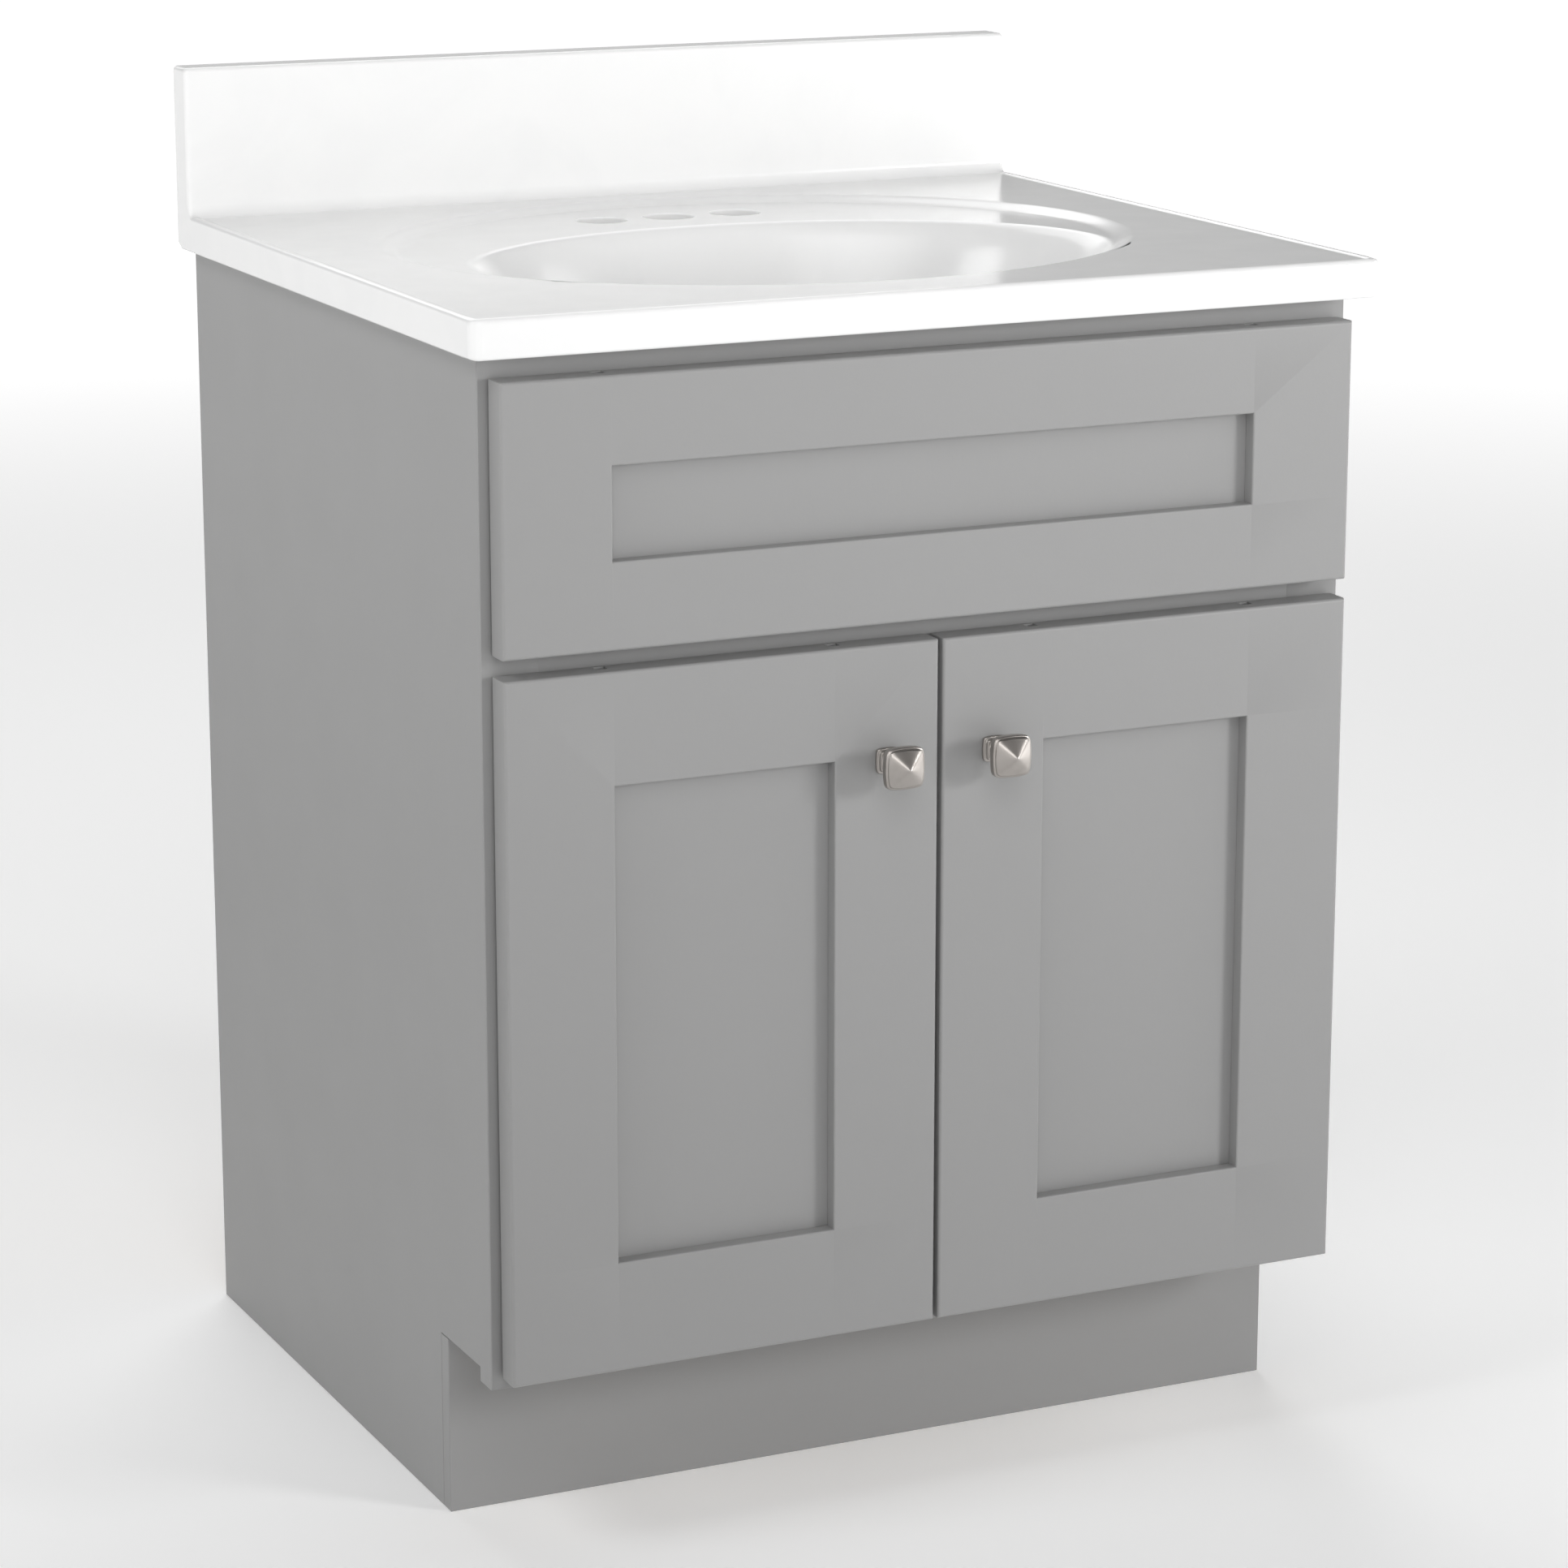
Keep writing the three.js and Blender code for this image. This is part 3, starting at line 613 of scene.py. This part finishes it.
def makeFramedFront(stem, stiles, body, s, cutters=None):
    # stiles are the two upright members' node names, low x first; cutters maps a stile to its bores
    lowStile, highStile = [span(n) for n in stiles]
    bottom, top = span(stem + "_bottom_rail"), span(stem + "_top_rail")
    panel = span(stem + "_panel")
    inner = (lowStile[1][0], highStile[0][0])
    openZ = (bottom[1][2], top[0][2])
    groove = (panel[0][1] - play, panel[1][1] + play)
    for node, x in zip(stiles, inner):
        makeStile(node, body, x, *openZ, groove, s, (cutters or {}).get(node, ()))
    for level, z in zip(("bottom", "top"), openZ):
        makeRail(f"{stem}_{level}_rail", body, z, inner, groove, s)
    outline = rectangle(panel[0][:2], panel[1][:2])
    piece = carried(stem + "_panel_sheet", "z", outline, (panel[0][2], panel[1][2]), s["panelEase"])
    dressed(piece, body, stem + "_panel", paints["z"])


def cupBores(hand, s):
    # cylinders that clear the hinge cups and run out through the back of the stile
    bores = []
    mouth = span(f"{hand}_door_hinge_stile")[1][1] + s["boreRun"]
    for level in levels:
        low, high = span(f"{hand}_{level}_hinge_cup")
        centre = (low + high) / 2
        radius = (high[0] - low[0]) / 2 + play
        base = low[1] - play
        rows = [(0, base), (radius, base), (radius, mouth), (0, mouth)]
        bores.append(turned("bore", rows, (centre[0], 0, centre[2]), (0, 1, 0), s["boreSides"]))
    return bores


makeFramedFront("false_front", ("false_front_left_stile", "false_front_right_stile"), "cabinet", joinery)
for hand in hands:
    hingeStile, lockStile = f"{hand}_door_hinge_stile", f"{hand}_door_lock_stile"
    stiles = (hingeStile, lockStile) if hand == "left" else (lockStile, hingeStile)
    bores = {hingeStile: cupBores(hand, joinery)}
    makeFramedFront(hand + "_door", stiles, hand + "_door", joinery, bores)
print("doors and false front ready")


top = {
    "thickness": 25.4 * mm, "splashHeight": 101.6 * mm, "splashThickness": 25.4 * mm,
    "lip": 1.2 * mm, "lipRun": 4.5 * mm, "topRadius": 3.5 * mm, "cornerRadius": 7 * mm,
    "footRadius": 2 * mm, "splashRadius": 3 * mm, "cove": 9 * mm,
    "recess": 4 * mm, "recessHalf": (260 * mm, 224 * mm), "recessFromFront": 277 * mm, "shoulder": 15 * mm,
    "basinHalf": (218 * mm, 158 * mm), "basinFromFront": 213 * mm, "basinDepth": 140 * mm,
    "basinSteepness": 3.2, "rollBack": 24 * mm, "rollFront": 7 * mm, "wall": 12 * mm, "landDrop": 2 * mm,
    "landRadius": 38 * mm, "landRamp": 2 * mm, "underRoll": 6 * mm,
    "drain": 22 * mm, "drainFlare": 3 * mm, "hole": 17.5 * mm, "holeFlare": 1.3 * mm, "holeDepth": 45 * mm,
    "holePitch": 50.8 * mm, "holeFromFront": 430 * mm, "cutterAround": 72,
    "edge": 8.5 * mm,  # the gridded deck stops this far inside the slab's ends and front
    "endReach": {"corner": 16 * mm, "splash": 10 * mm, "arris": 8 * mm},  # where the ends round over
    "rings": 64, "lipSteps": 6, "roundSteps": 7,
}


def ramp(t):  # t squared times (3 - 2t): 0 below 0, 1 above 1, level at both ends
    t = np.clip(t, 0, 1)
    return t * t * (3 - 2 * t)


def near(distance, reach):  # 1 at no distance, falling evenly to 0 at reach
    return np.clip(1 - distance / reach, 0, 1)


def softMax(value, width):  # value where it is well above 0, 0 where well below, a parabola between
    middle = (value + width) ** 2 / (4 * width)
    return np.where(value > width, value, np.where(value < -width, 0, middle))


def topPlaces(s):  # the casting's main planes and centres, from its node's box
    low, high = span("vanity_top")
    slabTop = high[2] - s["splashHeight"]
    return {
        "left": low[0], "right": high[0], "front": low[1], "back": high[1], "splashTop": high[2],
        "slabTop": slabTop, "slabFoot": slabTop - s["thickness"], "deck": slabTop - s["lip"],
        "ledge": slabTop - s["lip"] - s["recess"], "splashFront": high[1] - s["splashThickness"],
        "basinY": low[1] + s["basinFromFront"], "recessY": low[1] + s["recessFromFront"],
        "holeY": low[1] + s["holeFromFront"],
    }


def hollow(x, y, s, p):
    # How far the surface lies below the deck: the shallow oval recess, whose shoulder is a ramp, plus
    # the basin, whose depth is full times (1 - radius to the power of its steepness) and whose rim
    # rolls over gently at the back and tightly at the front.
    ovalRadius = np.hypot(x / s["recessHalf"][0], (y - p["recessY"]) / s["recessHalf"][1])
    recess = s["recess"] * ramp((1 - ovalRadius) * s["recessHalf"][1] / s["shoulder"])
    radius = np.hypot(x / s["basinHalf"][0], (y - p["basinY"]) / s["basinHalf"][1])
    depth = s["basinDepth"] * (1 - np.minimum(radius, 1.5) ** s["basinSteepness"])
    backness = ramp(0.5 + 0.75 * (y - p["basinY"]) / s["basinHalf"][1])
    roll = s["rollFront"] + (s["rollBack"] - s["rollFront"]) * backness
    return recess + softMax(depth, roll)


def bulge(x, y, s, p):
    # How far the basin's underside hangs below the slab: the basin's formula one wall further out,
    # less the slab's thickness there, plus a flat land round the drain.
    half = np.array(s["basinHalf"]) + s["wall"]
    radius = np.hypot(x / half[0], (y - p["basinY"]) / half[1])
    depth = (s["basinDepth"] + s["wall"]) * (1 - np.minimum(radius, 1.5) ** s["basinSteepness"])
    inside = s["landRadius"] + s["landRamp"] - np.hypot(x, y - p["basinY"])
    land = s["landDrop"] * ramp(inside / s["landRamp"])
    return softMax(depth - (p["ledge"] - p["slabFoot"]), s["underRoll"]) + land


def nested(xs, ys, ringAt):
    # A square block of grid points pulled into nested rings. A point's ring is the larger of its two
    # distances from the middle, and its angle runs evenly round each side. ringAt turns the ring and
    # angle into x and y, from the middle out to the block's own border.
    m = (len(xs) - 1) // 2
    i, j = np.meshgrid(np.arange(-m, m + 1), np.arange(-m, m + 1), indexing="ij")
    ring = np.maximum(np.abs(i), np.abs(j))
    safe = np.maximum(ring, 1)
    a, b = i / safe, j / safe
    quarter = math.pi / 4
    angle = np.where(np.abs(i) >= np.abs(j),
                     np.where(i >= 0, quarter * b, math.pi - quarter * b),
                     np.where(j >= 0, 2 * quarter - quarter * a, -2 * quarter + quarter * a))
    borderX = np.interp(a, np.linspace(-1, 1, 2 * m + 1), xs)
    borderY = np.interp(b, np.linspace(-1, 1, 2 * m + 1), ys)
    return ringAt(ring, m, angle, borderX, borderY)


def deckRings(ring, m, angle, borderX, borderY, s, p):
    # The basin's rings are its oval scaled by the sine of the ring's share of a quarter turn. The
    # rings after it run straight from one outline to the next: ledge, recess's shoulder, deck border.
    wallRing, ledgeRing, shoulderRing = int(m * 0.60), int(m * 0.72), int(m * 0.86)
    rim = 1.06  # the basin's outermost ring, as a share of its oval
    clear = 3 * mm  # least room between the basin's rings and the recess's oval
    cosine, sine = np.cos(angle), np.sin(angle)
    inside = np.minimum(ring / wallRing, 1.0)
    scale = rim * np.sin(inside * math.pi / 2) ** 1.05
    basinX, basinY = s["basinHalf"][0] * scale * cosine, p["basinY"] + s["basinHalf"][1] * scale * sine
    ovalX, ovalY = s["recessHalf"][0] * cosine, p["recessY"] + s["recessHalf"][1] * sine
    # at the front the basin's rim runs out under the oval's, so its rings are held inside
    length = np.hypot(cosine * s["recessHalf"][1], sine * s["recessHalf"][0])
    outX, outY = cosine * s["recessHalf"][1] / length, sine * s["recessHalf"][0] / length
    rimX = rim * s["basinHalf"][0] * cosine
    rimY = p["basinY"] + rim * s["basinHalf"][1] * sine
    gap = (ovalX - rimX) * outX + (ovalY - rimY) * outY
    held = np.minimum(gap - clear, 0) * inside
    basinX, basinY = basinX + outX * held, basinY + outY * held
    inset = np.minimum(s["shoulder"] * 1.1, np.maximum(gap, clear) * 0.55) / s["recessHalf"][1]
    innerX, innerY = ovalX * (1 - inset), p["recessY"] + (ovalY - p["recessY"]) * (1 - inset)
    x, y = basinX, basinY
    stages = ((wallRing, ledgeRing, innerX, innerY, 1.0), (ledgeRing, shoulderRing, ovalX, ovalY, 1.0),
              (shoulderRing, m, borderX, borderY, 1.5))
    for start, finish, nextX, nextY, power in stages:
        t = np.clip((ring - start) / (finish - start), 0, 1) ** power
        x, y = x + (nextX - x) * t, y + (nextY - y) * t
    return x, y


def underRings(ring, m, angle, borderX, borderY, s, p):
    # the underside's oval scaled by the sine of the ring's share, then straight out to the border
    rim = int(m * 0.8)
    scale = 1.02 * np.sin(np.minimum(ring / rim, 1.0) * math.pi / 2)
    x = (s["basinHalf"][0] + s["wall"]) * scale * np.cos(angle)
    y = p["basinY"] + (s["basinHalf"][1] + s["wall"]) * scale * np.sin(angle)
    t = np.clip((ring - rim) / (m - rim), 0, 1)
    return x + (borderX - x) * t, y + (borderY - y) * t


def castingLoop(s, p):
    # The casting's section as one loop of [y, z] points: up the front, over the deck, up and over the
    # splash, down the back and home underneath. Also gives the slice that each stretch takes.
    r, foot, q, cove = s["topRadius"], s["footRadius"], s["splashRadius"], s["cove"]
    crest, splash = p["front"] + r, p["splashFront"]
    count = 2 * s["rings"] + 1
    lip = np.linspace(0.1, 0.95, s["lipSteps"])
    deck = np.linspace(p["front"] + s["edge"], splash - cove, count)
    under = np.linspace(p["back"] - s["edge"], p["front"] + s["edge"], count)
    rise = np.linspace(p["deck"] + cove + 6 * mm, p["splashTop"] - q - 6 * mm, 6)
    rear = np.linspace(p["splashTop"] - 12 * mm, p["slabFoot"] + 4 * mm, 5)
    stretches = {
        "front": np.concatenate([
            arc((p["front"] + foot, p["slabFoot"] + foot), foot, 270, 180, 4),
            [(p["front"], p["slabFoot"] + 9 * mm), (p["front"], p["slabTop"] - 9 * mm)],
            arc((crest, p["slabTop"] - r), r, 180, 90, 7)]),
        "lip": np.stack([crest + 0.4 * mm + lip * s["lipRun"], p["slabTop"] - s["lip"] * ramp(lip)], -1),
        "deck": np.stack([deck, np.full(count, p["deck"])], -1),
        "cove": arc((splash - cove, p["deck"] + cove), cove, 270, 360, 9)[1:],
        "rise": np.stack([np.full(len(rise), splash), rise], -1),
        "crown": np.concatenate([
            arc((splash + q, p["splashTop"] - q), q, 180, 90, 6),
            arc((p["back"] - q / 2, p["splashTop"] - q / 2), q / 2, 90, 0, 4)]),
        "rear": np.stack([np.full(len(rear), p["back"]), rear], -1),
        "under": np.stack([under, np.full(count, p["slabFoot"])], -1),
    }
    stops = np.cumsum([0] + [len(points) for points in stretches.values()])
    where = {name: slice(*stops[i:i + 2]) for i, name in enumerate(stretches)}
    return np.concatenate(list(stretches.values())), where


def endInset(loop, s, p):
    # how far each point of the loop moves in y and z where the ends round over, and the radius there
    r, foot, q, reach = s["topRadius"], s["footRadius"], s["splashRadius"], s["endReach"]
    y, z = loop.T
    low = z < p["slabTop"] + 0.1 * mm
    onSplash = np.where(y > p["splashFront"] - s["cove"], np.clip((z - p["deck"]) / s["cove"], 0, 1), 0)
    onSlab = (1 - onSplash) * (y < p["splashFront"] + mm)
    cornerward = near(y - p["front"], reach["corner"]) * low
    inY = (s["cornerRadius"] * cornerward + q * near(y - p["splashFront"], reach["splash"]) * onSplash
           - foot * near(p["back"] - y, reach["arris"]))
    inZ = (foot * near(z - p["slabFoot"], reach["arris"]) - q * near(p["splashTop"] - z, reach["splash"])
           - r * near(p["slabTop"] - z, reach["arris"]) * onSlab)
    return np.stack([inY, inZ], -1), r + (s["cornerRadius"] - r) * cornerward


def rightEnd(loop, where, s, p):
    # The loop repeated from the end face inwards. On the rounding a row stands its radius times
    # (1 - sine) in and is shrunk by (1 - cosine) of its inset; beyond it the raised lip ramps down.
    inset, radius = endInset(loop, s, p)
    turns = math.pi / 2 * (1 - np.arange(s["roundSteps"] + 1) / s["roundSteps"])
    rows = [(p["right"] - radius * (1 - math.sin(turn)), 1 - math.cos(turn), 1.0) for turn in turns]
    for t in np.arange(1, s["lipSteps"]) / s["lipSteps"]:
        x = (p["right"] - radius) * (1 - t) + (p["right"] - s["edge"]) * t
        rows.append((x, 0.0, 1 - ramp(t * 1.1)))
    onDeck = slice(where["lip"].start, where["cove"].stop)
    sunk = np.zeros(len(loop))
    sunk[onDeck] = np.clip(p["slabTop"] - loop[onDeck, 1], 0, s["lip"])
    return np.stack([np.column_stack([x, loop + inset * shrink + np.outer(sunk * lifted, (0, 1))])
                     for x, shrink, lifted in rows])


def makeVanityTop(s):
    # The loop is carried from the left end to the right. In the middle the deck's and underside's
    # points are pulled into rings round the basin and sunk by the formulas above.
    p = topPlaces(s)
    loop, where = castingLoop(s, p)
    deck, under = where["deck"], where["under"]
    across = np.linspace(p["left"] + s["edge"], p["right"] - s["edge"], 2 * s["rings"] + 1)
    middle = np.empty((len(across), len(loop), 3))
    middle[..., 0] = across[:, None]
    middle[..., 1:] = loop
    x, y = nested(across, loop[deck, 0], lambda *a: deckRings(*a, s, p))
    middle[:, deck] = np.stack([x, y, p["deck"] - hollow(x, y, s, p)], -1)
    x, y = nested(across, loop[under, 0][::-1], lambda *a: underRings(*a, s, p))
    x, y = x[:, ::-1], y[:, ::-1]
    middle[:, under] = np.stack([x, y, p["slabFoot"] - bulge(x, y, s, p)], -1)
    end = rightEnd(loop, where, s, p)
    points = np.concatenate([end * (-1, 1, 1), middle, end[::-1]])
    rows, count = points.shape[:2]
    caps = [list(range(count)), list(range((rows - 1) * count, rows * count))]
    piece = meshFrom("vanity_top_casting", points, gridFaces(rows, count).tolist() + caps)
    settle(piece, topCutters(s, p))
    dressed(piece, "cabinet", "vanity_top", marble)


def topCutters(s, p):
    # each hole's cutter flares into a quarter round where it meets the surface
    cutters = []
    places = [(i * s["holePitch"], p["holeY"], p["ledge"], s["hole"], s["holeFlare"]) for i in (-1, 0, 1)]
    places.append((0, p["basinY"], p["ledge"] - s["basinDepth"], s["drain"], s["drainFlare"]))
    for x, y, surface, radius, flare in places:
        low, high = surface - s["holeDepth"], surface + 8 * mm
        wide = radius + flare
        rim = arc((wide, surface - flare), flare, 180, 95, 7)
        rows = np.concatenate([[(0, low), (radius, low)], rim, [(wide, high), (0, high)]])
        cutters.append(turned("cutter", rows, (x, y, 0), (0, 0, 1), s["cutterAround"]))
    return cutters


makeVanityTop(top)
print("cast top ready")


knobLook = {
    "head": 27.4 * mm, "foot": 17 * mm, "neck": 5 * mm, "around": 128,
    "crown": 6.5,  # millimetres from the head's rim up to its tip
    "tipBlunt": 0.007, "faceSteps": 18, "firmness": (12, 5),  # corners at the rim and at the tip
}


def makeKnob(hand, s):
    # Rows from the foot's pole to the tip, in millimetres: half-width, height and how square the row
    # is. The neck is round, the foot and head are soft squares with bowed sides.
    node = hand + "_knob"
    low, high = span(node)
    centre = ((low[0] + high[0]) / 2, high[1], (low[2] + high[2]) / 2)
    tip = (high[1] - low[1]) / mm
    h, f, n = s["head"] / 2 / mm, s["foot"] / 2 / mm, s["neck"] / mm
    rim = tip - s["crown"]
    rows = [
        (0, 0, 1), (f - 0.5, 0, 1), (f - 0.1, 0.15, 1), (f, 0.5, 1), (f, 1.9, 1), (f - 0.15, 2.3, 1),
        (f - 0.5, 2.5, 1), (f - 1.2, 2.6, 1), (f - 1.4, 2.8, 1), (f - 1.5, 4.6, 1), (f - 1.7, 5.1, 1),
        (f - 2.1, 5.3, 1), (f - 2.9, 5.5, 0.9), (n + 0.6, 6.0, 0.5), (n + 0.1, 7.0, 0.2), (n - 0.4, 9, 0),
        (n - 0.5, 12, 0), (n, 16, 0.1), (n + 1.2, 18.2, 0.4), (n + 3.2, 19.6, 0.8), (h - 3.4, 20.3, 1),
        (h - 1.6, 20.5, 1), (h - 0.5, 20.9, 1), (h - 0.1, 21.4, 1), (h, 22.0, 1), (h, rim - 2.3, 1),
        (h - 0.12, rim - 1.8, 1), (h - 0.45, rim - 1.5, 1), (h - 0.85, rim - 1.4, 1),
        (h - 1.1, rim - 1.25, 1), (h - 1.2, rim - 0.9, 1), (h - 1.3, rim - 0.4, 1),
        (h - 1.55, rim - 0.05, 1), (h - 1.9, rim + 0.2, 1),
    ]
    # The face then rises in a low pyramid whose ridges soften towards a rounded tip. At share t of
    # the way in its rise is 1 less the root of (1 - t) squared plus the bluntness, scaled to end at 1.
    width, shoulder, _ = rows[-1]
    climb = tip - shoulder
    blunt = s["tipBlunt"]
    for t in np.linspace(0, 1, s["faceSteps"] + 1)[1:]:
        rise = (1 - math.sqrt((1 - t) ** 2 + blunt)) / (1 - math.sqrt(blunt))
        rows.append((width * (1 - t), shoulder + climb * max(0, rise), 1 - 0.5 * t * t))
    table = np.array(rows)
    atRim, atTip = s["firmness"]
    firmness = atRim - (atRim - atTip) * np.clip((table[:, 1] - shoulder) / climb, 0, 1)
    piece = turned(node + "_casting", table[:, :2] * mm, centre, (0, -1, 0), s["around"],
                   table[:, 2], firmness)
    dressed(piece, hand + "_door", node, nickel)


for hand in hands:
    makeKnob(hand, knobLook)
print("knobs ready")


bumperLook = {"around": 36, "edge": 0.25, "fullness": 0.6, "steps": 9}
fittings = ("hinge_cup", "hinge_pin", "hinge_arm", "hinge_screw", "knob_screw")


def makeBumper(hand, level, s):
    # A low dome: at angle t from its edge to its top, its radius is the full one times the cosine to
    # the power of the fullness, and its height runs from the edge's share to 1 with the sine.
    node = f"{hand}_door_{level}_bumper"
    low, high = span(node)
    radius, height = (high[0] - low[0]) / 2, high[1] - low[1]
    t = np.linspace(0, math.pi / 2, s["steps"])
    rise = s["edge"] + (1 - s["edge"]) * np.sin(t)
    dome = np.stack([radius * np.cos(t) ** s["fullness"], height * rise], -1)
    rows = np.concatenate([[(0, 0), (radius, 0)], dome])
    rows[-1, 0] = 0  # the top closes on the axis
    centre = ((low[0] + high[0]) / 2, low[1], (low[2] + high[2]) / 2)
    piece = turned(node + "_dome", rows, centre, (0, 1, 0), s["around"])
    dressed(piece, hand + "_door", node, rubber)


for hand in hands:
    for level in levels:
        makeBumper(hand, level, bumperLook)
for name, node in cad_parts.items():  # the steel fittings keep their CAD shapes
    if name.endswith(fittings):
        node.data.materials.clear()
        node.data.materials.append(steel)
print("fittings ready")


floorLook = {
    "colour": (0.93, 0.93, 0.93), "size": 40, "glow": (0.17, 1.00),
    "glowRun": (0.7, 5.5),  # metres from the middle over which the glow grows
}


def makeFloor(s):
    half = s["size"] / 2
    corners = np.array([(-half, -half, 0), (half, -half, 0), (half, half, 0), (-half, half, 0)], float)
    mesh = bpy.data.meshes.new("floor")
    mesh.from_pydata(corners.tolist(), [], [(0, 1, 2, 3)])
    floor = bpy.data.objects.new("floor", mesh)
    bpy.context.collection.objects.link(floor)
    # the floor is lit from within a little more with distance, so that it stays pale all round
    f = Finish("pale_floor", s["colour"], Roughness=0.7, Emission_Strength=1.0)
    away = f.add("ShaderNodeVectorMath", {"operation": "LENGTH"}, {0: f.place()}, output="Value")
    dim, bright = [(glow, glow, glow) for glow in s["glow"]]
    f.feed("Emission Color", f.blend(f.smooth(away, *s["glowRun"]), dim, bright))
    mesh.materials.append(f.material)


makeFloor(floorLook)
